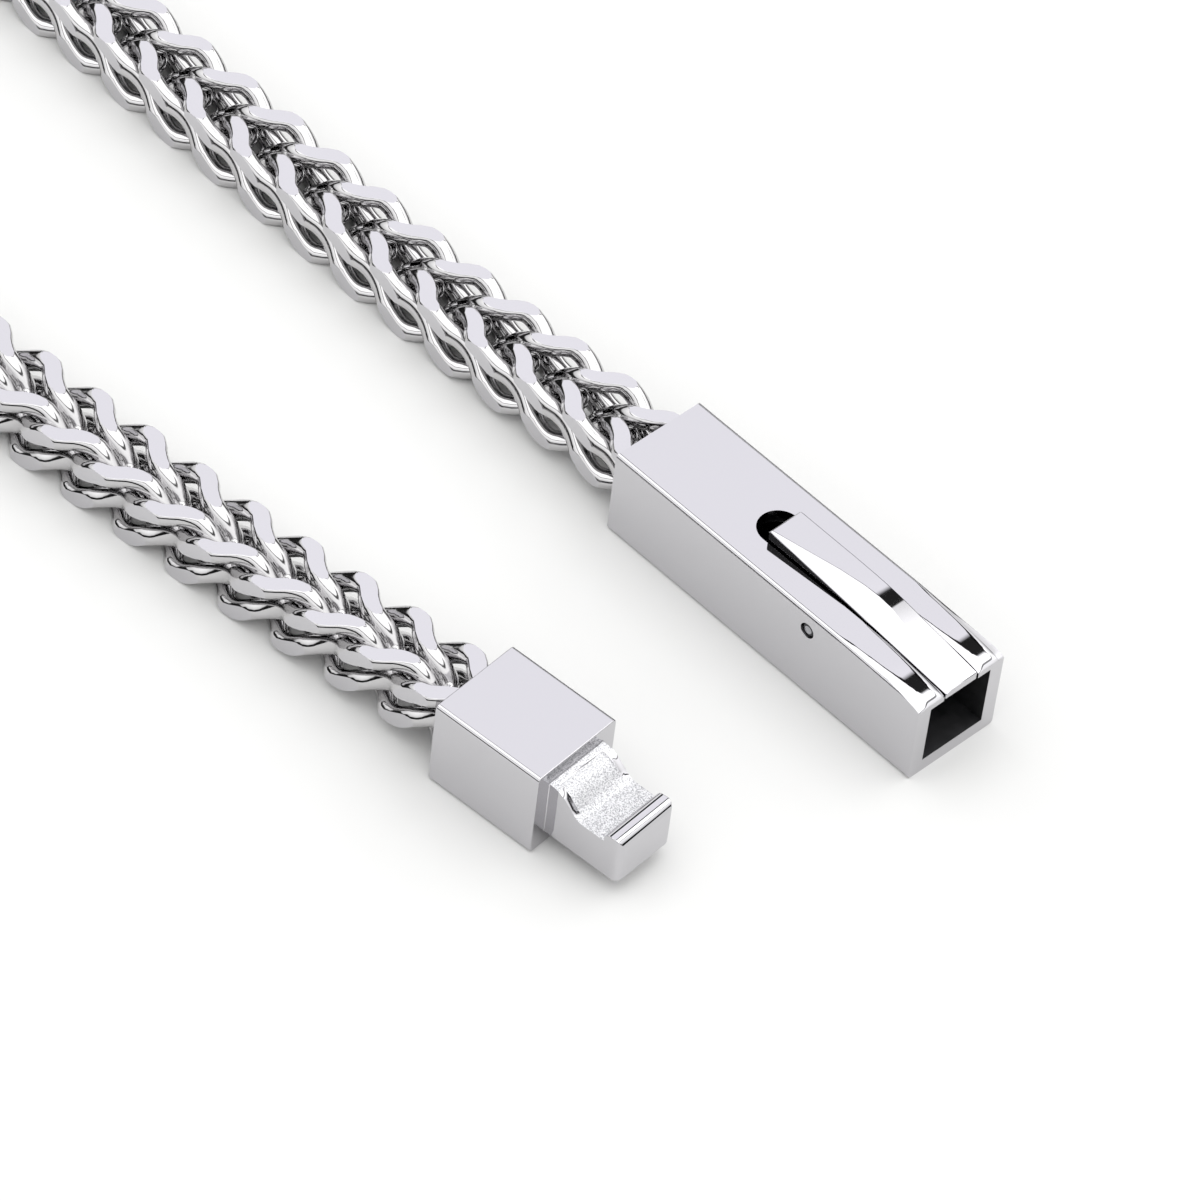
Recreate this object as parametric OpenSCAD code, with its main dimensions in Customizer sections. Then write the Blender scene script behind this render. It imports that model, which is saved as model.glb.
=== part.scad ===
// Franco neck chain in polished stainless steel, laid open on a table.
// One end carries a box clasp with a sprung lever, the other a cap with a stepped tongue.
// Millimetres, +Z up. The tops of the clasp and the cap face up, as they do when worn flat.

/* [Clasp box] */
// Outer width of the clasp box
box_w = 8; // [7.4:0.1:10]
// Outer height of the clasp box and of the cap
box_h = 7.2; // [6.9:0.1:9]
// Length of the clasp box
box_l = 29; // [27:0.5:40]
// Thickness of the side walls
box_side = 1.2; // [0.9:0.05:1.3]
// Thickness of the floor
box_floor = 1.1; // [0.8:0.05:1.3]
// Thickness of the roof that the slot is cut through
box_roof = 1.1; // [0.9:0.05:1.3]
// Depth of the hollow behind the mouth
hollow_l = 21; // [20:0.5:22]
// Rounding of the long edges of box and cap
edge_r = 0.35; // [0.1:0.05:0.4]
// How far the roof falls away at the mouth
nose_drop = 0.4; // [0.1:0.05:0.5]
// Length over which it falls away
nose_l = 6; // [3:0.5:7]

/* [Lever] */
// Width of the slot in the roof
slot_w = 3.2; // [2.6:0.1:3.6]
// Length of the slot from the mouth to its round end
slot_l = 18.9; // [18.5:0.1:19.8]
// Play between the lever and the slot, each side
lever_gap = 0.15; // [0.1:0.05:0.3]
// Length of the lever
lever_l = 17; // [16:0.1:17.2]
// Height of the lever's raised tail above the roof
lever_rise = 1; // [0.6:0.05:1.4]
// Thickness of the tail
tail_t = 1.5; // [1.2:0.05:1.8]
// Roll of the facet that widens from the tail's near corner to the front, in degrees
facet_roll = 22; // [16:0.5:28]
// How far the facet's near edge lies below the lever's top at the tail
facet_tail = 0.05; // [0.05:0.01:0.12]
// How far it lies below the lever's top at the front
facet_front = 0.2; // [0.15:0.01:0.3]
// Distance of the hook from the mouth, to its middle
hook_x = 3.9; // [3.6:0.05:4]
// Thickness of the hook
hook_t = 1.4; // [1:0.05:1.6]
// How far the hook reaches below the roof
hook_drop = 1.45; // [1.2:0.05:1.5]

/* [Hinge pin] */
// Diameter of the pin
pin_d = 1.1; // [0.8:0.05:1.3]
// Distance of the pin from the mouth
pin_x = 10.4; // [10.2:0.1:11.5]
// Depth of the pin's middle below the top of the box
pin_z = 1.5; // [1.3:0.05:1.7]
// Play of the pin in the side walls, all round
pin_play = 0.05; // [0.03:0.01:0.08]
// Play of the lever on the pin, all round
bore_play = 0.1; // [0.08:0.01:0.15]
// How far the pin's ends lie below the side faces
pin_sunk = 0.1; // [0:0.05:0.3]
// Metal of the lever round its bore
boss_t = 0.55; // [0.45:0.05:0.65]

/* [End cap] */
// Width of the cap
cap_w = 7.7; // [7.4:0.1:9]
// Length of the cap
cap_l = 9; // [8:0.1:12]
// Length of the tongue
tongue_l = 6.5; // [6.2:0.1:8]
// Play of the tongue in the mouth, each side
tongue_gap = 0.15; // [0.1:0.05:0.25]
// Height of the lip at the tongue's end above the recess floor
lip_h = 0.8; // [0.5:0.05:0.9]
// Play of the hook in the recess
hook_gap = 0.3; // [0.2:0.05:0.4]
// Rounding of the tongue's front corners
tongue_r = 0.7; // [0.3:0.05:1]
// Width of the rims beside the ramp
rim_w = 0.5; // [0.3:0.05:0.8]
// Height of the rims
rim_h = 0.3; // [0.15:0.05:0.4]

/* [Chain] */
// Width of the chain, over its ground flats
chain_w = 5.8; // [5.7:0.05:6.2]
// Height of the chain, over its ground flats
chain_h = 4.7; // [4.6:0.05:5.2]
// Distance from one link to the next
link_pitch = 4.8; // [4.75:0.05:5.2]
// Diameter of the link wire
wire_d = 1.4; // [1:0.05:1.45]
// How far the last whole link reaches into the clasp
clasp_grip = 2.44; // [2:0.02:4]
// How far the last whole link reaches into the cap
cap_grip = 3.28; // [2:0.02:4]
// Depth of the sockets that take the chain's ends
socket_l = 5; // [4.5:0.1:6]
// Room between the chain's cut ends and the bottom of the sockets
socket_end = 0.5; // [0.3:0.1:1]
// Play between the chain and a socket's walls
socket_gap = 0.2; // [0.15:0.05:0.3]
// Length over which the chain rises from the table to a socket
rise_l = 24; // [15:1:40]

/* [How it lies] */
// Straight stretch behind the clasp
clasp_strand = 72.6; // [60:0.1:90]
// Length of the bend after it
clasp_bend = 55.9; // [50:0.1:80]
// Degrees by which that bend swings outwards
clasp_turn = 40; // [30:1:50]
// Length of the wide arc round the back
neck_arc = 203.9; // [190:0.1:260]
// Length of the bend on the cap's side
cap_bend = 47.5; // [42:0.1:80]
// Degrees by which that bend swings outwards
cap_turn = 34; // [25:1:45]
// Straight stretch behind the cap
cap_strand = 90.1; // [75:0.1:110]
// Degrees by which the cap points away from the clasp's line
cap_yaw = 5.2; // [0:0.2:8]

/* [Hidden] */
e = 0.01;

// Route of the chain's middle line on the table, from the back of the clasp to the back of the cap.
// Each row is a length in mm and the turn over it in degrees, left turns positive.
ROUTE = [[clasp_strand, 0], [clasp_bend, -clasp_turn], [neck_arc, 180 + cap_yaw + clasp_turn + cap_turn],
    [cap_bend, -cap_turn], [cap_strand, 0]];

function row_end(p, r) = let (l = r[0], t = r[1], h = p[2])
    t == 0 ? [p[0] + l * cos(h), p[1] + l * sin(h), h, p[3] + l]
    : let (q = l * 180 / (PI * t))
      [p[0] + q * (sin(h + t) - sin(h)), p[1] - q * (cos(h + t) - cos(h)), h + t, p[3] + l];
function row_starts(i = 0, p = [0, 0, 180, 0]) =
    i == len(ROUTE) ? [p] : concat([p], row_starts(i + 1, row_end(p, ROUTE[i])));
STARTS = row_starts();
route_l = STARTS[len(ROUTE)][3];
function row_of(s, i = 0) = i == len(ROUTE) - 1 || s < STARTS[i + 1][3] ? i : row_of(s, i + 1);
// Place and heading at a distance along the route: [x, y, heading]
function at(s) = let (i = row_of(s), l = s - STARTS[i][3])
    row_end(STARTS[i], [l, ROUTE[i][1] * l / ROUTE[i][0]]);
function smooth(u) = let (c = min(1, max(0, u))) c * c * (3 - 2 * c);
// Height of the chain's middle line, which rises to the sockets at both ends
function mid_z(s) = chain_h / 2 + (box_h - chain_h) / 2
    * (2 - smooth(s / rise_l) - smooth((route_l - s) / rise_l));

// The part is centred on its own footprint.
FOOT = [for (s = [0 : 2 : route_l]) at(s)];
cap_at = at(route_l);
cap_tip = cap_l + tongue_l;
CAP_X = [for (u = [0, cap_tip]) for (v = [-1, 1])
    cap_at[0] + u * cos(cap_at[2]) - v * cap_w / 2 * sin(cap_at[2])];
x_max = max(concat([box_l], CAP_X));
x_min = min([for (p = FOOT) p[0]]) - chain_w / 2;
y_max = max(concat([box_w / 2], [for (p = FOOT) p[1] + chain_w / 2]));
y_min = min([for (p = FOOT) p[1] - chain_w / 2]);
module placed() translate([-(x_min + x_max) / 2, -(y_min + y_max) / 2, 0]) children();
module at_cap() translate([cap_at[0], cap_at[1], 0]) rotate([0, 0, cap_at[2]]) children();

// Box and cap share this bar section: a rectangle with small round corners, width w, height h.
function corner(cx, cy, a0) = [for (a = [0 : 22.5 : 90])
    [cx + edge_r * cos(a0 + a), cy + edge_r * sin(a0 + a)]];
function section(w, h) = let (x = w / 2 - edge_r, y = h - edge_r) concat(
    corner(x, edge_r, -90), corner(x, y, 0), corner(-x, y, 90), corner(-x, edge_r, 180));
module bar(w, h, l) rotate([90, 0, 90]) linear_extrude(l) polygon(section(w, h));
// A side profile in x and z, w wide and centred on y
module profile(points, w) translate([0, w / 2, 0]) rotate([90, 0, 0]) linear_extrude(w) polygon(points);

// Sizes that clasp, lever, pin and tongue share
mouth_w = box_w - 2 * box_side;
roof_z = box_h - box_roof;
pin_mid = box_h - pin_z;
lever_w = slot_w - 2 * lever_gap;
front_z = box_h - nose_drop;
hook_z = roof_z - hook_drop;
sock_w = chain_w + 2 * socket_gap;
sock_h = chain_h + 2 * socket_gap;

module chain_socket(x) translate([x, -sock_w / 2, (box_h - sock_h) / 2]) cube([socket_l, sock_w, sock_h]);

module clasp_box() color("silver") placed() difference() {
    intersection() {
        bar(box_w, box_h, box_l);
        profile([for (p = concat([[0, 0], [box_l, 0]],
            [for (i = [10 : -1 : 0]) [box_l - nose_l * (1 - i / 10), box_h - nose_drop * pow(i / 10, 3)]],
            [[0, box_h]])) p], box_w + 1);
    }
    translate([box_l - hollow_l, -mouth_w / 2, box_floor])
        cube([hollow_l + e, mouth_w, box_h - box_floor - box_roof]);
    chain_socket(-e);
    // Slot with a round back end
    translate([box_l - slot_l + slot_w / 2, -slot_w / 2, roof_z - e]) cube([slot_l, slot_w, box_roof + 1]);
    translate([box_l - slot_l + slot_w / 2, 0, roof_z - e]) cylinder(d = slot_w, h = box_roof + 1, $fn = 48);
    // Bores for the pin
    translate([box_l - pin_x, box_w, pin_mid]) rotate([90, 0, 0])
        cylinder(d = pin_d + 2 * pin_play, h = 2 * box_w, $fn = 32);
}

// Side outline of the lever, x measured back from the mouth, as pairs of distance and height
boss_r = pin_d / 2 + bore_play + boss_t;
tail_z = box_h + lever_rise;
LEVER = [[0, front_z], [0, roof_z + 0.05], [hook_x - hook_t / 2, roof_z + 0.05],
    [hook_x - hook_t * 0.2, hook_z], [hook_x + hook_t / 2, hook_z], [hook_x + hook_t / 2, roof_z - 0.15],
    [pin_x - boss_r, roof_z - 0.15], [pin_x - boss_r * 0.75, pin_mid - boss_r * 0.7],
    [pin_x - boss_r * 0.3, pin_mid - boss_r], [pin_x + boss_r * 0.3, pin_mid - boss_r],
    [pin_x + boss_r * 0.75, pin_mid - boss_r * 0.7], [pin_x + boss_r * 1.2, roof_z - 0.1],
    [lever_l - 0.3, tail_z - tail_t], [lever_l, tail_z - tail_t + 0.3],
    [lever_l, tail_z - 0.15], [lever_l - 0.15, tail_z]];
// The top stays level from the tail and bends down to the front: shares of the length and of the fall
TOP = [[0.85, 0.99], [0.68, 0.97], [0.56, 0.93], [0.48, 0.87], [0.41, 0.78], [0.33, 0.64],
    [0.24, 0.47], [0.12, 0.24]];
lever_fall = tail_z - front_z;
LEVER_SIDE = concat(LEVER, [for (p = TOP) [lever_l * p[0], front_z + lever_fall * p[1]]]);
facet_slope = atan((lever_fall + facet_front - facet_tail) / lever_l);

module lever() color("silver") placed() difference() {
    translate([box_l, 0, 0]) profile([for (p = LEVER_SIDE) [-p[0], p[1]]], lever_w);
    translate([box_l - pin_x, box_w, pin_mid]) rotate([90, 0, 0])
        cylinder(d = pin_d + 2 * bore_play, h = 2 * box_w, $fn = 32);
    // Facet that rises from the near edge
    translate([box_l - lever_l, -lever_w / 2, tail_z - facet_tail]) rotate([0, facet_slope, 0])
        rotate([facet_roll, 0, 0]) translate([-2, -2, 0]) cube([lever_l + 4, lever_w + 4, 3]);
}

module hinge_pin() color("gray") placed()
    translate([box_l - pin_x, box_w / 2 - pin_sunk, pin_mid]) rotate([90, 0, 0])
        cylinder(d = pin_d, h = box_w - 2 * pin_sunk, $fn = 32);

// Side outline of the tongue, x from the cap's face: floor, lip, recess under the hook, ramp
tongue_w = mouth_w - 2 * tongue_gap;
tongue_z0 = box_floor + tongue_gap;
tongue_z1 = roof_z - tongue_gap;
recess_z = hook_z - hook_gap;
recess_x0 = hook_x - hook_t / 2 - hook_gap;
recess_x1 = hook_x + hook_t / 2 + hook_gap;
ramp_h = tongue_z1 - recess_z;
TONGUE = [[-1, tongue_z0], [tongue_l - 0.3, tongue_z0], [tongue_l, tongue_z0 + 0.3],
    [tongue_l - 0.1, recess_z + lip_h * 0.3], [tongue_l - 0.35, recess_z + lip_h * 0.8],
    [tongue_l - 0.7, recess_z + lip_h], [recess_x1 + 0.25, recess_z + lip_h * 0.9],
    [recess_x1, recess_z + lip_h * 0.6], [recess_x1, recess_z], [recess_x0, recess_z],
    [recess_x0 * 0.85, recess_z + ramp_h * 0.1], [recess_x0 * 0.7, recess_z + ramp_h * 0.35],
    [recess_x0 * 0.5, recess_z + ramp_h * 0.7], [recess_x0 * 0.3, recess_z + ramp_h * 0.92],
    [0, tongue_z1], [-1, tongue_z1]];
// Groove between the rims, following the ramp a little lower
GROOVE = concat([for (p = [[0.15, 1], [0.3, 0.92], [0.5, 0.7], [0.7, 0.35], [0.85, 0.1], [1.05, 0]])
    [recess_x0 * p[0], recess_z + ramp_h * p[1] - rim_h * max(0, 1 - p[0])]],
    [[recess_x0 * 1.05, box_h], [recess_x0 * 0.15, box_h]]);
PLAN = concat([[-1, -tongue_w / 2]],
    [for (a = [-90 : 22.5 : 0]) [tongue_l - tongue_r + tongue_r * cos(a),
        -tongue_w / 2 + tongue_r + tongue_r * sin(a)]],
    [for (a = [0 : 22.5 : 90]) [tongue_l - tongue_r + tongue_r * cos(a),
        tongue_w / 2 - tongue_r + tongue_r * sin(a)]],
    [[-1, tongue_w / 2]]);

module end_cap() color("silver") placed() at_cap() difference() {
    union() {
        bar(cap_w, box_h, cap_l);
        translate([cap_l, 0, 0]) intersection() {
            profile(TONGUE, tongue_w + 1);
            linear_extrude(box_h) polygon(PLAN);
        }
    }
    chain_socket(-e);
    translate([cap_l, 0, 0]) profile(GROOVE, tongue_w - 2 * rim_w);
}

// One link is a closed ring of wire, long and narrow, bent so that it shows on all four faces.
// Rows: distance along the chain in pitches, then across and up as shares of the wire's room each way.
// The rest follows by symmetry: half a turn about the link's middle, then left and right alike.
RING = [[-1.04, 0.3, 0.2], [-0.64, 0.35, 1], [-0.05, 1, 1], [0.34, 0.97, 0.45]];
ring_mid = 1.4;
wire_sides = 5;
QUARTER = [for (r = RING) [r[0] * link_pitch, r[1] * (chain_w - wire_d) / 2, r[2] * (chain_h - wire_d) / 2]];
n_quarter = len(QUARTER);
HALF = concat(QUARTER, [for (i = [n_quarter - 1 : -1 : 0])
    [ring_mid * link_pitch - QUARTER[i][0], QUARTER[i][1], -QUARTER[i][2]]]);
n_half = len(HALF);
LOOP = concat(HALF, [for (i = [n_half - 1 : -1 : 0]) [HALF[i][0], -HALF[i][1], HALF[i][2]]]);
n_loop = len(LOOP);
// A point of the link at s, carried onto the route. Links point towards the clasp.
function laid(s, p) = let (q = at(s - p[0]), h = q[2])
    [q[0] + p[1] * sin(h), q[1] - p[1] * cos(h), mid_z(s - p[0]) + p[2]];
function unit(v) = v / norm(v);
function wire_ring(c, t) = let (n1 = unit(cross(t, [0, 0, 1])), n2 = cross(n1, t))
    [for (k = [0 : wire_sides - 1]) let (a = -90 + 360 * k / wire_sides)
        c + wire_d / 2 * (cos(a) * n1 + sin(a) * n2)];
FACES = [for (i = [0 : n_loop - 1]) for (k = [0 : wire_sides - 1])
    let (j = (i + 1) % n_loop, m = (k + 1) % wire_sides,
         a = i * wire_sides + k, b = i * wire_sides + m, c = j * wire_sides + m, d = j * wire_sides + k)
    each [[a, b, c], [a, c, d]]];
module link(s) {
    c = [for (p = LOOP) laid(s, p)];
    polyhedron([for (i = [0 : n_loop - 1])
        each wire_ring(c[i], unit(c[(i + 1) % n_loop] - c[(i + n_loop - 1) % n_loop]))], FACES);
}
first_s = (ring_mid - RING[0][0]) * link_pitch + wire_d / 2 - clasp_grip;
last_s = route_l + cap_grip + RING[0][0] * link_pitch - wire_d / 2;
link_n = floor((last_s - first_s) / link_pitch) + 1;
step_s = (last_s - first_s) / (link_n - 1);
mid_i = floor(link_n / 2);
// The chain is cut inside each socket, so some links more reach in and end there.
function more_n(grip) = floor(ring_mid - 2 * RING[0][0] + (wire_d - grip) / link_pitch);
cut_l = 4 * ring_mid * link_pitch;
module cut_end() difference() {
    children();
    translate([socket_l - socket_end, -cut_l / 2, -cut_l / 2]) cube(cut_l);
}
module chain_upper() color("silver") placed() {
    for (i = [0 : mid_i - 1]) link(first_s + i * step_s);
    for (i = [1 : more_n(clasp_grip)]) cut_end() link(first_s - i * step_s);
}
module chain_lower() color("silver") placed() {
    for (i = [mid_i : link_n - 1]) link(first_s + i * step_s);
    for (i = [1 : more_n(cap_grip)]) difference() {
        link(last_s + i * step_s);
        at_cap() translate([socket_l - socket_end, -cut_l / 2, -cut_l / 2]) cube(cut_l);
    }
}

clasp_box();
lever();
hinge_pin();
end_cap();
chain_upper();
chain_lower();
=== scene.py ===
# %% [markdown]
# # A franco neck chain in polished steel
#
# The necklace lies open on a white table. One end carries a box clasp with a sprung lever, the
# other a cap whose stepped tongue snaps into the clasp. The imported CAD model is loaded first. It
# fixes every size and place, and the cells after it make the looks around it, in metres.

# %% Load the frame
from math import cos, pi, radians, sin

import bpy
import numpy as np
from mathutils import Matrix, Vector


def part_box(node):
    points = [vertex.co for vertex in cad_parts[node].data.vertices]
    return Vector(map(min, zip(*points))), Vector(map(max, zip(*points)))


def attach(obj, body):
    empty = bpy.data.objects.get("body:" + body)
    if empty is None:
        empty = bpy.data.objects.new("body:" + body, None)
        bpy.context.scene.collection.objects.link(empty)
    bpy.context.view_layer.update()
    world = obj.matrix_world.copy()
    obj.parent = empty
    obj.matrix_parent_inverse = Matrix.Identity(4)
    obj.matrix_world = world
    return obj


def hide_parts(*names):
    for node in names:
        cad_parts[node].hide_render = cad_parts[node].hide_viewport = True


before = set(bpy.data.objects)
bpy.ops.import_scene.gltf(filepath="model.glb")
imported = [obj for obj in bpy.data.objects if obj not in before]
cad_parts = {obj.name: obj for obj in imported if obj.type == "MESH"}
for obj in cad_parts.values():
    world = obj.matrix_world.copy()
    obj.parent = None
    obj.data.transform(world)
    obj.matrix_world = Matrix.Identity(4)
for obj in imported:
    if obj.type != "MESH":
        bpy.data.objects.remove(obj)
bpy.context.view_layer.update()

MM = 0.001

# %% [markdown]
# ## Small helpers
#
# An operator acts on everything that is selected, and the loaded frame leaves its nodes selected.
# So each step starts by picking one object. Faces and edges are picked in code, by their place.
#
# A cut by bisect moves points that lie nearly on its plane onto it. For parts this small "nearly"
# has to be far finer than Blender's own setting, or a cut face comes out uneven.

# %% Pick one object, and work in edit mode
CUT_THRESHOLD = 0.001 * MM


def pick(piece):
    bpy.ops.object.select_all(action="DESELECT")
    piece.select_set(True)
    bpy.context.view_layer.objects.active = piece
    return piece


def edit_all(piece, *steps):
    """Each step is an operator with its settings, used on the whole mesh."""
    pick(piece)
    bpy.ops.object.mode_set(mode="EDIT")
    for operator, settings in steps:
        bpy.ops.mesh.select_all(action="SELECT")
        operator(**settings)
    bpy.ops.object.mode_set(mode="OBJECT")
    return piece


def finish_with(piece, kind, **settings):
    """Adds one modifier and applies it."""
    pick(piece)
    modifier = piece.modifiers.new(kind.lower(), kind)
    for name, value in settings.items():
        setattr(modifier, name, value)
    bpy.ops.object.modifier_apply(modifier=modifier.name)
    return piece


def triangles(piece):
    piece.data.calc_loop_triangles()
    return len(piece.data.loop_triangles)


# %% [markdown]
# ## The camera
#
# The picture was taken from well away with a long lens, so the lines of the clasp hardly draw
# together. The camera looks down on the two ends of the necklace and is rolled a little.

# %% Camera
CAMERA_PLACE = Vector((329.96, -269.33, 396.59)) * MM
CAMERA_YAW = radians(130.92)
CAMERA_PITCH = radians(47.33)
CAMERA_ROLL = radians(7.56)
SENSOR = 36.0
FOCAL_IN_FRAMES = 6.692
NEAREST = 0.05
FARTHEST = 20

lens = bpy.data.cameras.new("camera")
lens.sensor_width = SENSOR
lens.lens = FOCAL_IN_FRAMES * SENSOR
lens.clip_start = NEAREST
lens.clip_end = FARTHEST
camera = bpy.data.objects.new("camera", lens)
camera.matrix_world = (
    Matrix.Translation(CAMERA_PLACE)
    @ Matrix.Rotation(CAMERA_YAW - pi / 2, 4, "Z")
    @ Matrix.Rotation(pi / 2 - CAMERA_PITCH, 4, "X")
    @ Matrix.Rotation(CAMERA_ROLL, 4, "Z")
)
bpy.context.scene.collection.objects.link(camera)
bpy.context.scene.camera = camera
print("lens", round(lens.lens, 1), "mm")

# %% [markdown]
# ## Materials
#
# Colours are given as sRGB hex values, as on a colour picker, and the shader wants them linear.
# One helper adds a node with its settings and links, and each material is built from it.

# %% Colours and nodes
def linear(hex_colour):
    """An sRGB colour such as C8C8CC as linear red, green, blue and alpha."""
    parts = [int(hex_colour[i : i + 2], 16) / 255 for i in (0, 2, 4)]
    return [c / 12.92 if c <= 0.04045 else ((c + 0.055) / 1.055) ** 2.4 for c in parts] + [1]


def add_node(tree, kind, inputs=None, **settings):
    """Adds a node. An input is a plain value, or another node's output to link from."""
    node = tree.nodes.new(kind)
    for name, value in settings.items():
        setattr(node, name, value)
    for name, value in (inputs or {}).items():
        if isinstance(value, bpy.types.NodeSocket):
            tree.links.new(value, node.inputs[name])
        else:
            node.inputs[name].default_value = value
    return node


def new_material(name):
    material = bpy.data.materials.new(name)
    material.use_nodes = True
    tree = material.node_tree
    shader = tree.nodes["Principled BSDF"]
    place = add_node(tree, "ShaderNodeTexCoord").outputs["Object"]
    return material, tree, shader, place


# %% [markdown]
# The clasp and the cap are polished stainless steel: a clear mirror that is a little darker than
# silver. Buffing leaves a faint waviness and very fine wipe marks, so the roughness varies a
# little and a very low bump bends the reflections.

# %% Polished steel of clasp and cap
LEAST_ROUGH = 0.7
MOST_ROUGH = 1.4
WAVE_STRENGTH = 0.3


def buffed_steel(name, colour, roughness, wave_mm, wave_height_mm):
    """Metal whose roughness swings about a mean, with low waves of a length and height in mm."""
    material, tree, shader, place = new_material(name)
    shader.inputs["Metallic"].default_value = 1
    shader.inputs["Base Color"].default_value = linear(colour)
    cloud = add_node(
        tree, "ShaderNodeTexNoise", {"Vector": place, "Scale": 1 / (wave_mm * MM), "Detail": 2}
    )
    spread = add_node(
        tree,
        "ShaderNodeMapRange",
        {
            "Value": cloud.outputs["Fac"],
            "To Min": roughness * LEAST_ROUGH,
            "To Max": roughness * MOST_ROUGH,
        },
    )
    wave = add_node(
        tree,
        "ShaderNodeBump",
        {
            "Height": cloud.outputs["Fac"],
            "Strength": WAVE_STRENGTH,
            "Distance": wave_height_mm * MM,
        },
    )
    tree.links.new(spread.outputs["Result"], shader.inputs["Roughness"])
    tree.links.new(wave.outputs["Normal"], shader.inputs["Normal"])
    return material


polished_steel = buffed_steel("polished_stainless_steel", "C6C5C8", 0.035, 3.0, 0.001)

# %% [markdown]
# The links were tumbled smooth after soldering, which leaves the round wire a touch softer than the
# four sides of the chain, which were ground flat and buffed bright.

# %% Tumbled wire and ground flats of the links
link_steel = buffed_steel("tumbled_stainless_wire", "C4C3C4", 0.08, 1.2, 0.004)
ground_steel = buffed_steel("ground_flats_of_stainless_links", "C8C7CA", 0.05, 1.2, 0.001)

# %% [markdown]
# Nobody polishes the inside of the clasp, so it is dull. Its dark colour is painted shade.

# %% Dull steel painted dark for shade inside the clasp
# Painted shade: this dark colour stands for the shade in the clasp's hollow and round the pin's ends.
shade_painted_dull_steel = buffed_steel("dull_steel_painted_dark_for_shade", "505052", 0.5, 0.8, 0.02)

# %% [markdown]
# The ramp on the tongue is sandblasted: matt, bright where light falls on it, with a fine grain.

# %% Sandblasted steel of the ramp
GRIT_MM = 0.09
GRIT_HEIGHT_MM = 0.03

blasted_steel, tree, shader, place = new_material("sandblasted_stainless_steel")
shader.inputs["Metallic"].default_value = 1
shader.inputs["Roughness"].default_value = 0.5
grit = add_node(
    tree, "ShaderNodeTexNoise", {"Vector": place, "Scale": 1 / (GRIT_MM * MM), "Detail": 3}
)
pits = add_node(
    tree,
    "ShaderNodeBump",
    {"Height": grit.outputs["Fac"], "Strength": 0.8, "Distance": GRIT_HEIGHT_MM * MM},
)
specks = add_node(tree, "ShaderNodeValToRGB", {"Fac": grit.outputs["Fac"]})
specks.color_ramp.elements[0].position = 0.38
specks.color_ramp.elements[0].color = linear("A6A6AA")
specks.color_ramp.elements[1].position = 0.55
specks.color_ramp.elements[1].color = linear("E6E6E8")
tree.links.new(specks.outputs["Color"], shader.inputs["Base Color"])
tree.links.new(pits.outputs["Normal"], shader.inputs["Normal"])

# %% [markdown]
# The hinge pin was turned on a lathe and only filed flush, so it is duller than what it holds.

# %% Turned steel of the pin
turned_steel = buffed_steel("turned_steel_pin", "A8A8AC", 0.28, 0.4, 0.01)

# %% [markdown]
# ## Clasp, lever and cap
#
# Their CAD shape is right but shaded flat, in loose triangles. A copy is merged into whole faces,
# then gets the small round on every edge that polishing leaves, which catches the light. The copy
# stands in for the CAD node, which stays hidden for collision.

# %% Copies with polished edges
CAD_MERGE = 0.002 * MM
CAD_FLAT = radians(1)


def polished_copy(node, name, material, edge_mm, widest_mm=None, sharp=32, reshape=None):
    """Rounds the edges that are sharper than an angle in degrees.

    edge_mm is a width, or a function of an edge's middle that gives one up to widest_mm. reshape
    is called before the shading, so that the shading follows what it does.
    """
    piece = bpy.data.objects.new(name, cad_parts[node].data.copy())
    bpy.context.scene.collection.objects.link(piece)
    piece.data.materials.clear()
    piece.data.materials.append(material)
    edit_all(
        piece,
        (bpy.ops.mesh.remove_doubles, {"threshold": CAD_MERGE}),
        (bpy.ops.mesh.dissolve_limited, {"angle_limit": CAD_FLAT}),
    )
    pick(piece)
    bpy.ops.object.mode_set(mode="EDIT")
    bpy.ops.mesh.select_mode(type="EDGE")
    bpy.ops.mesh.select_all(action="DESELECT")
    bpy.ops.mesh.edges_select_sharp(sharpness=radians(sharp))
    bpy.ops.object.mode_set(mode="OBJECT")
    mesh = piece.data
    widest_mm = widest_mm or edge_mm
    weights = mesh.attributes.new("bevel_weight_edge", "FLOAT", "EDGE")
    for edge in mesh.edges:
        if edge.select:
            ends = [mesh.vertices[i].co for i in edge.vertices]
            width = edge_mm((ends[0] + ends[1]) / 2) if callable(edge_mm) else edge_mm
            weights.data[edge.index].value = width / widest_mm
    finish_with(
        piece,
        "BEVEL",
        width=widest_mm * MM,
        segments=2,
        limit_method="WEIGHT",
        use_clamp_overlap=True,
        miter_outer="MITER_ARC",
    )
    if reshape:
        reshape(piece)
    pick(piece)
    bpy.ops.object.shade_smooth_by_angle(angle=radians(sharp))
    finish_with(piece, "WEIGHTED_NORMAL", keep_sharp=True)
    print(name, triangles(piece), "triangles")
    return piece


def paint(piece, material, is_chosen):
    """Gives a second material to the faces whose middle and normal pass the test."""
    piece.data.materials.append(material)
    chosen = [f for f in piece.data.polygons if is_chosen(f.center, f.normal)]
    for face in chosen:
        face.material_index = len(piece.data.materials) - 1
    print(piece.name, "faces in", material.name + ":", len(chosen))
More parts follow.
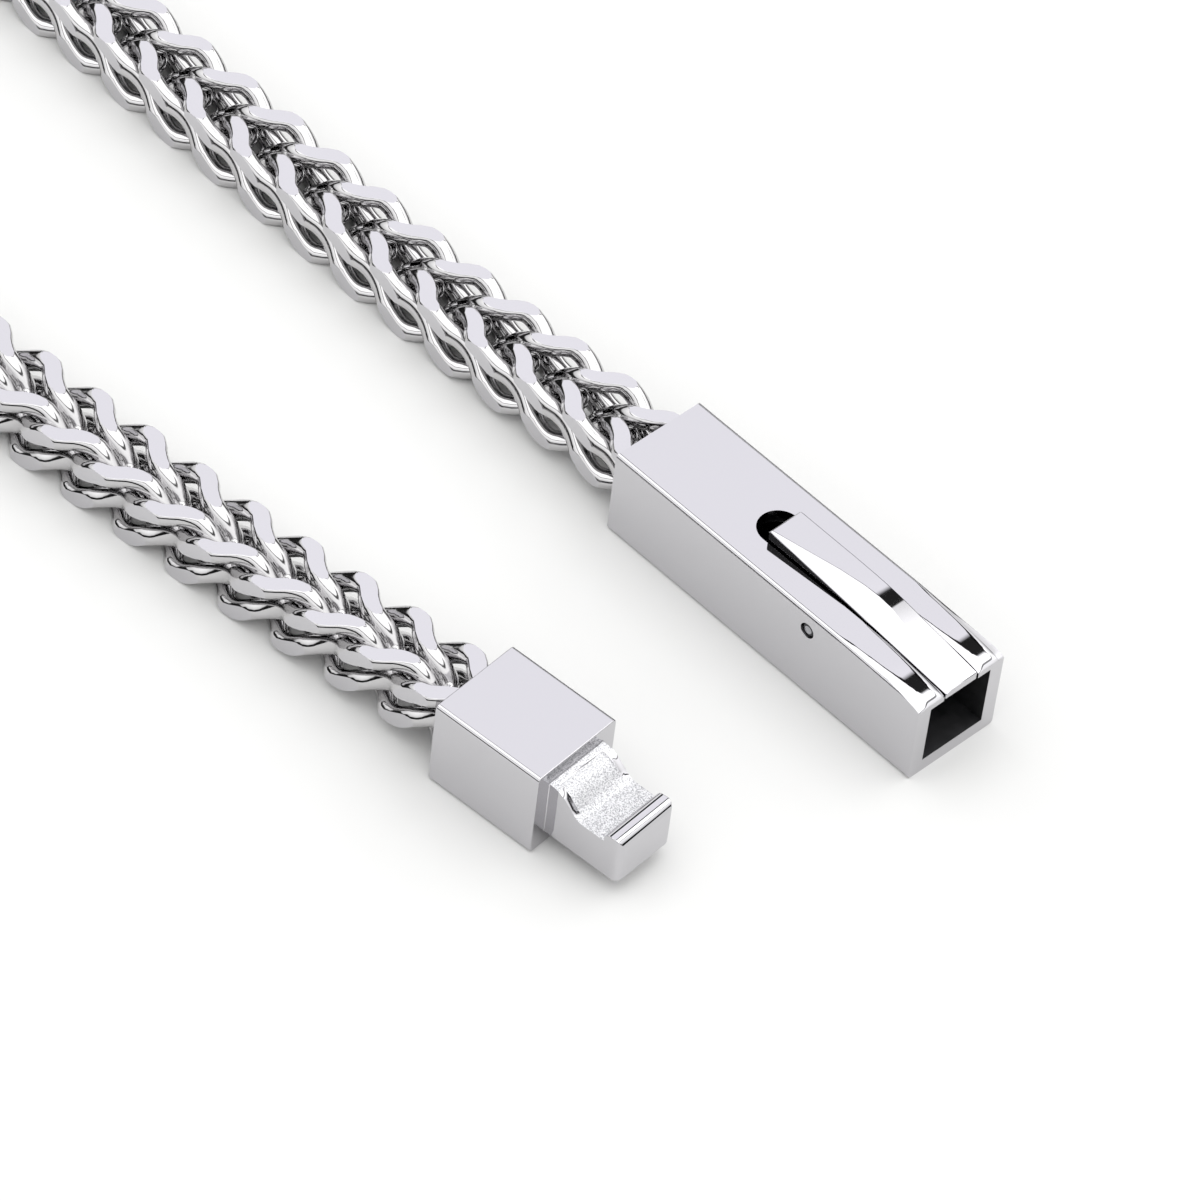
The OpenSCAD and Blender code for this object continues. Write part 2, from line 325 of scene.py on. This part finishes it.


# %% [markdown]
# The case is a tube with a slot in its top, so the top ends in two rails at the mouth. Buffing wears
# their rims most at the front. The top is cut into a fine grid there, and each point near a rim is
# lowered, more so the nearer it lies to the mouth. The inside is dull steel painted dark as shade.

# %% Clasp case
CASE_EDGE = 0.26
SLOT_EDGE = 0.12
SLOT_HALF = 1.6
TOP_FROM_Z = 6.3
RIMS_FROM_Z = 6.4
CASE_FLOOR = 1.1
CASE_CEILING = 6.1
HOLLOW_L = 21.0
HOLLOW_HALF = 2.8
MOUTH_BAND = 0.15
TOP_HALF = 3.65
WORN_L = 8.0
WORN_W = 0.75
WORN_DEPTH = 0.22
FINE_CUTS = [0.1 * i for i in range(1, 10)]
WIDE_CUTS = [1.25, 1.6, 2.2, 2.8, 3.4, 4, 4.8, 5.6, 6.4, 7.2, 8]
FACES_UP = 0.2
SLACK = 0.01

case_low, case_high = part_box("clasp_box")
case_front = Vector((case_high.x, (case_low.y + case_high.y) / 2, 0))


def from_front(place):
    """Distances in mm: back from the mouth, across from the middle line, and up from the table."""
    off = (place - case_front) / MM
    return -off.x, abs(off.y), off.z


def case_edge(middle):
    back, across, up = from_front(middle)
    at_slot = up > RIMS_FROM_Z and across < SLOT_HALF + SLACK
    return SLOT_EDGE if at_slot else CASE_EDGE


def wear(back, across):
    """How far the top is worn down, in mm."""
    nearness = max(0, 1 - back / WORN_L)
    width = WORN_W * nearness
    if width == 0:
        return 0
    to_rim = min(abs(across - SLOT_HALF), max(0, TOP_HALF - across))
    rim = max(0, 1 - to_rim / width)
    mouth = max(0, 1 - back / WORN_W)
    return WORN_DEPTH * nearness * (rim**4 + mouth**4) ** 0.5


def wear_top(piece):
    """Cuts the top into a grid near the mouth, then lowers its points."""
    lines_across = [SLOT_HALF + w for w in FINE_CUTS] + [TOP_HALF - w for w in FINE_CUTS]
    cuts = [((case_front.x - w * MM, 0, 0), (1, 0, 0)) for w in FINE_CUTS + WIDE_CUTS]
    for w in lines_across:
        cuts += [((0, case_front.y + side * w * MM, 0), (0, 1, 0)) for side in (-1, 1)]
    for place, normal in cuts:
        pick(piece)
        bpy.ops.object.mode_set(mode="EDIT")
        bpy.ops.mesh.select_all(action="DESELECT")
        bpy.ops.object.mode_set(mode="OBJECT")
        for face in piece.data.polygons:
            face.select = face.normal.z > FACES_UP and face.center.z > TOP_FROM_Z * MM
        bpy.ops.object.mode_set(mode="EDIT")
        bpy.ops.mesh.bisect(plane_co=place, plane_no=normal, threshold=CUT_THRESHOLD)
        bpy.ops.object.mode_set(mode="OBJECT")
    for vertex in piece.data.vertices:
        back, across, up = from_front(vertex.co)
        if up > RIMS_FROM_Z and back < WORN_L:
            vertex.co.z -= wear(back, across) * MM


def is_inside(middle, normal):
    back, across, up = from_front(middle)
    in_hollow = across < HOLLOW_HALF + SLACK and CASE_FLOOR - SLACK < up < CASE_CEILING + SLACK
    return in_hollow and MOUTH_BAND < back < HOLLOW_L + 0.1


case = polished_copy(
    "clasp_box", "clasp_case", polished_steel, case_edge, CASE_EDGE, reshape=wear_top
)
# Painted shade: the faces inside the hollow get the dark steel.
paint(case, shade_painted_dull_steel, is_inside)
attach(case, "root")
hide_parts("clasp_box")

# %% [markdown]
# ## The loop
#
# The chain leaves the clasp's back, runs round the neck's curve and comes back to the cap. The
# route is the CAD's: straights and arcs as rows of length and turn.

# %% Route of the chain
ROUTE = [(72.6, 0), (55.9, -40), (203.9, 259.2), (47.5, -34), (90.1, 0)]
start = (case_low.x, (case_low.y + case_high.y) / 2, pi)
rows = [(length * MM, radians(turn)) for length, turn in ROUTE]
route_l = sum(length for length, turn in rows)


def onward(place, length, turn):
    x, y, heading = place
    if turn == 0:
        return (x + length * cos(heading), y + length * sin(heading), heading)
    radius = length / turn
    return (
        x + radius * (sin(heading + turn) - sin(heading)),
        y - radius * (cos(heading + turn) - cos(heading)),
        heading + turn,
    )


def place_at(s):
    """Place and heading at the distance s along the route. It goes on straight past both ends."""
    place = start
    if s <= 0:
        return onward(place, s, 0)
    for length, turn in rows:
        if s <= length:
            return onward(place, s, turn * s / length)
        place = onward(place, length, turn)
        s -= length
    return onward(place, s, 0)


print("route in mm:", round(route_l / MM, 1))

# %% [markdown]
# ## Lever, pin and cap
#
# The lever's facet meets its top at 22 degrees, so its edges count as sharp from 15 degrees on. The
# pin's ends are domed, and a dark ring of painted shade round each end stands for the gap between
# pin and hole.

# %% Lever and pin
PIN_DOME = 0.24
PIN_END = 0.98
LEVER_EDGE = 0.08
LEVER_SHARP = 15

arm = polished_copy("lever", "clasp_lever", polished_steel, LEVER_EDGE, sharp=LEVER_SHARP)
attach(arm, "lever")
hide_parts("lever")

pin = polished_copy("hinge_pin", "pin", turned_steel, PIN_DOME)
# Painted shade: the pin's faces that do not face straight out get the dark steel, drawing a ring.
paint(pin, shade_painted_dull_steel, lambda middle, normal: abs(normal.y) < PIN_END)
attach(pin, "root")
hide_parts("hinge_pin")

# %% [markdown]
# The route's end says where the cap lies, and so where its tongue is. The top of the tongue, with
# its ramp and the recess for the hook, is sandblasted. The rims of the ramp are thin, so their edges
# stay sharp. The edges of the cap and those of the lip that the hook catches are rounded.

# %% Cap
CAP_L = 9.0
STRIP_END = 0.45
RECESS_END = 4.8
RAMP_HALF = 2.2
CAP_EDGE = 0.2
RIM_EDGE = 0.0
LIP_EDGE = 0.16
RAMP_FROM_Z = 4
CAP_SHARP = 42

cap_x, cap_y, cap_heading = place_at(route_l)
turn_back = Matrix.Rotation(-cap_heading, 3, "Z")


def from_cap_face(place):
    """Distances in mm: ahead of the cap's end face, across and up."""
    off = turn_back @ (place - Vector((cap_x, cap_y, 0))) / MM
    return off.x - CAP_L, abs(off.y), off.z


def cap_edge(middle):
    ahead, across, up = from_cap_face(middle)
    if ahead < SLACK or up < RAMP_FROM_Z:
        return CAP_EDGE
    return RIM_EDGE if ahead < RECESS_END + 0.1 else LIP_EDGE


def is_blasted(middle, normal):
    ahead, across, up = from_cap_face(middle)
    on_ramp = 2 * SLACK < ahead < RECESS_END - 2 * SLACK and up > 2 and normal.z > 0.1
    return on_ramp and (across < RAMP_HALF or ahead < STRIP_END)


cap = polished_copy("end_cap", "cap_with_tongue", polished_steel, cap_edge, CAP_EDGE, CAP_SHARP)
paint(cap, blasted_steel, is_blasted)
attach(cap, "root")
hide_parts("end_cap")

# %% [markdown]
# ## One link
#
# A franco link is a closed ring of round wire, squeezed long and narrow and bent so that its two
# arms run over the top, spread to the edges, go down both sides and close again under the bottom.
# A quarter of its centreline is given, as distance along the chain in pitches, then across and up
# in mm from the chain's middle. A half turn about the link's middle and a mirror image give the rest.

# %% Centreline of the link
CHAIN_W = 5.8 * MM
CHAIN_H = 4.7 * MM
LINK_PITCH_IN_CAD = 4.8 * MM
LINK_PITCH = 4.818 * MM
WIRE = 1.5 * MM
GROUND_EDGE = 0.06 * MM
GROUND_SLACK = 0.01 * MM
LINK_MERGE = 0.03 * MM
LINK_SHARP = radians(35)
LINK_CREASE = radians(30)
LINK_MIDDLE = 0.7
QUARTER = [
    (-1.06, 0.00, 0.05),
    (-1.01, 0.50, 0.12),
    (-0.88, 0.74, 0.75),
    (-0.64, 0.76, 1.60),
    (-0.48, 1.00, 1.78),
    (-0.31, 1.52, 1.87),
    (-0.14, 2.26, 1.88),
    (0.02, 2.44, 1.74),
    (0.18, 2.44, 1.34),
    (0.33, 2.25, 0.90),
    (0.46, 1.94, 0.62),
    (0.58, 1.76, 0.32),
    (0.70, 1.70, 0.00),
]
half = QUARTER + [(2 * LINK_MIDDLE - v, x, -z) for v, x, z in reversed(QUARTER[:-1])]
ring = half + [(v, -x, z) for v, x, z in reversed(half[1:-1])]
print("points on the ring:", len(ring))

# %% [markdown]
# A smooth curve through the points, given the wire's round section, becomes a mesh. The chain is
# then ground flat on its four sides, which bisecting does here: each cut takes off what stands
# outside the chain's width and height and closes the wire with a flat face.

# %% Model the link
curve = bpy.data.curves.new("link", "CURVE")
curve.dimensions = "3D"
curve.resolution_u = 2
curve.bevel_depth = WIRE / 2
curve.bevel_resolution = 5
spline = curve.splines.new("BEZIER")
spline.bezier_points.add(len(ring) - 1)
for point, (v, x, z) in zip(spline.bezier_points, ring):
    point.co = (v * LINK_PITCH, x * MM, z * MM)
    point.handle_left_type = point.handle_right_type = "AUTO"
spline.use_cyclic_u = True
link = bpy.data.objects.new("link", curve)
bpy.context.scene.collection.objects.link(link)
pick(link)
bpy.ops.object.convert(target="MESH")
link = bpy.context.active_object

for side in [(0, 0, 1), (0, 0, -1), (0, 1, 0), (0, -1, 0)]:
    edit_all(
        link,
        (
            bpy.ops.mesh.bisect,
            {
                "plane_co": (0, side[1] * CHAIN_W / 2, side[2] * CHAIN_H / 2),
                "plane_no": side,
                "use_fill": True,
                "clear_outer": True,
                "threshold": CUT_THRESHOLD,
            },
        ),
    )
edit_all(link, (bpy.ops.mesh.remove_doubles, {"threshold": LINK_MERGE}))
finish_with(
    link,
    "BEVEL",
    width=GROUND_EDGE,
    segments=1,
    limit_method="ANGLE",
    angle_limit=LINK_CREASE,
    use_clamp_overlap=True,
)
pick(link)
bpy.ops.object.shade_smooth_by_angle(angle=LINK_SHARP)
finish_with(link, "WEIGHTED_NORMAL", keep_sharp=True)
link.data.materials.append(link_steel)


def is_ground(middle, normal):
    on_top = abs(middle.z) > CHAIN_H / 2 - GROUND_SLACK
    return on_top or abs(middle.y) > CHAIN_W / 2 - GROUND_SLACK


paint(link, ground_steel, is_ground)
print("one link:", triangles(link), "triangles")
print("its size in mm:", [round(side / MM, 2) for side in link.dimensions])

# %% [markdown]
# ## The chain on the table
#
# The chain's middle line lies half its height above the table, and rises a little to the sockets in
# the clasp and the cap.

# %% Height of the middle line
RISE_L = 24 * MM
socket_z = case_high.z / 2


def smooth(u):
    c = min(1, max(0, u))
    return c * c * (3 - 2 * c)


def middle_z(s):
    """The middle line lies half a height up, and climbs to the sockets at both ends."""
    climb = 2 - smooth(s / RISE_L) - smooth((route_l - s) / RISE_L)
    return CHAIN_H / 2 + (socket_z - CHAIN_H / 2) * climb


print("height at the clasp in mm:", round(middle_z(0) / MM, 2))

# %% [markdown]
# Every link is a copy with its own mesh. A point of the link keeps its place across and up, and
# its distance along is measured on the route, so that the links bend with the loop.

# %% Lay the links
CLASP_GRIP = 2.44 * MM
CAP_GRIP = 3.28 * MM
WIRE_IN_CAD = 1.4 * MM
SOCKET_DEPTH = 4.5 * MM
TIP_TO_CORNER = 1.04

reach = TIP_TO_CORNER * LINK_PITCH_IN_CAD + WIRE_IN_CAD / 2
first_s = 2 * LINK_MIDDLE * LINK_PITCH_IN_CAD + reach - CLASP_GRIP
last_s = route_l + CAP_GRIP - reach
link_n = int((last_s - first_s) / LINK_PITCH_IN_CAD) + 1
step_s = (last_s - first_s) / (link_n - 1)
MORE_LINKS = 3
base = np.array([v.co for v in link.data.vertices])


def lay_link(i):
    s = first_s + i * step_s
    copy = bpy.data.objects.new(f"link_{i + MORE_LINKS}", link.data.copy())
    bpy.context.scene.collection.objects.link(copy)
    laid = []
    for along, across, up in base:
        x, y, heading = place_at(s - along)
        z = middle_z(s - along) + up
        laid.append((x + across * sin(heading), y - across * cos(heading), z))
    copy.data.vertices.foreach_set("co", np.array(laid).ravel())
    copy.data.update()
    return copy


def cut_behind(piece, place, heading):
    """Cuts off what reaches past a place, looking along the heading."""
    ahead = (cos(heading), sin(heading), 0)
    cut = {
        "plane_co": place,
        "plane_no": ahead,
        "use_fill": True,
        "clear_outer": True,
        "threshold": CUT_THRESHOLD,
    }
    return edit_all(piece, (bpy.ops.mesh.bisect, cut))


def join(pieces, name):
    pick(pieces[0])
    for piece in pieces:
        piece.select_set(True)
    bpy.ops.object.join()
    joined = bpy.context.active_object
    joined.name = joined.data.name = name
    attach(joined, "root")
    print(name, triangles(joined), "triangles")
    return joined


middle_link = link_n // 2
clasp_end = place_at(-SOCKET_DEPTH)
cap_end = place_at(route_l + SOCKET_DEPTH)
upper = [lay_link(i) for i in range(-MORE_LINKS, middle_link)]
for piece in upper[:MORE_LINKS]:
    cut_behind(piece, (clasp_end[0], clasp_end[1], 0), 0)
lower = [lay_link(i) for i in range(middle_link, link_n + MORE_LINKS)]
for piece in lower[-MORE_LINKS:]:
    cut_behind(piece, (cap_end[0], cap_end[1], 0), cap_end[2])
chain_upper = join(upper, "links_from_clasp")
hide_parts("chain_upper")
chain_lower = join(lower, "links_from_cap")
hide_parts("chain_lower")
bpy.data.objects.remove(link)

# %% [markdown]
# ## Table and light
#
# The table is a plain white laminate and lit so well that it comes out pure white, with soft grey
# only where the pieces keep the light off it.

# %% Table
TABLE_SIZE = 6.0

bpy.ops.mesh.primitive_plane_add(size=TABLE_SIZE, location=(0, 0, 0))
table = bpy.context.active_object
table.name = "table"
white_board, tree, shader, place = new_material("white_laminate")
shader.inputs["Base Color"].default_value = linear("DEDEDD")
shader.inputs["Roughness"].default_value = 0.6
table.data.materials.append(white_board)

# %% [markdown]
# Polished metal shows what stands round it, so the room is part of the looks: a white tent with a
# dark seam and a dark horizon, and a window behind and to the right, which throws the soft shadows
# to the front left. What lies flat mirrors one lavender grey card behind the necklace. The dark gap
# round the card draws the thin black lines along every rounded edge.

# %% Studio
world = bpy.data.worlds.new("studio")
bpy.context.scene.world = world
world.use_nodes = True
tree = world.node_tree
direction = add_node(tree, "ShaderNodeTexCoord").outputs["Generated"]


LAVENDER = (0.016, 0, 0.087)


def brightness_along(value, stops):
    """A colour ramp over a value, from rows of value, brightness and how lavender it is."""
    ramp = add_node(tree, "ShaderNodeValToRGB", {"Fac": value})
    marks = ramp.color_ramp.elements
    for i, (at, brightness, lavender) in enumerate(stops):
        mark = marks[i] if i < 2 else marks.new(at)
        mark.position = at
        mark.color = [brightness * (1 + tint * lavender) for tint in LAVENDER] + [1]
    return ramp.outputs["Color"]


TENT = [
    (0.0, 0.01, 0),
    (0.26, 0.02, 0),
    (0.3, 1.0, 0),
    (0.5, 1.4, 0),
    (0.7, 1.7, 0),
    (0.715, 0.05, 0),
    (0.76, 0.05, 0),
    (0.775, 2.0, 0),
    (1.0, 2.0, 0),
]
CARD_PLACE = (-0.506, 0.512, 0.693)
CARD_EDGE = 0.9748
GAP_EDGES = (0.9736, 0.94, 0.935)
CARD = [
    (0.0, 0.0, 0),
    (GAP_EDGES[0], 0.0, 0),
    (CARD_EDGE, 1.36, 0.5),
    (1.0, 1.32, 0.5),
]
OUTSIDE = [
    (0.0, 1.0, 0),
    (GAP_EDGES[2], 1.0, 0),
    (GAP_EDGES[1], 0.01, 0),
    (1.0, 0.01, 0),
]
WINDOW_PLACE = (0.05, 0.64, 0.77)
WINDOW = [(0.0, 0.0, 0), (0.9, 0.0, 0), (0.97, 0.8, 0), (1.0, 0.8, 0)]


def closeness(place):
    """How nearly a direction points at a place on the studio's dome, as a cosine."""
    return add_node(
        tree, "ShaderNodeVectorMath", {0: direction, 1: place}, operation="DOT_PRODUCT"
    ).outputs["Value"]


def mix(way, first, second):
    """Sockets 6 and 7 of a Mix node take its two colours, and its output 2 gives the result."""
    return add_node(
        tree, "ShaderNodeMix", {0: 1.0, 6: first, 7: second}, data_type="RGBA", blend_type=way
    ).outputs[2]


height = add_node(tree, "ShaderNodeSeparateXYZ", {"Vector": direction}).outputs["Z"]
to_card = closeness(CARD_PLACE)
window = brightness_along(closeness(WINDOW_PLACE), WINDOW)
room = mix("ADD", brightness_along(height, TENT), window)
room = mix("MULTIPLY", room, brightness_along(to_card, OUTSIDE))
room = mix("ADD", room, brightness_along(to_card, CARD))
sky = tree.nodes["Background"]
tree.links.new(room, sky.inputs["Color"])

bpy.context.scene.view_settings.view_transform = "Standard"
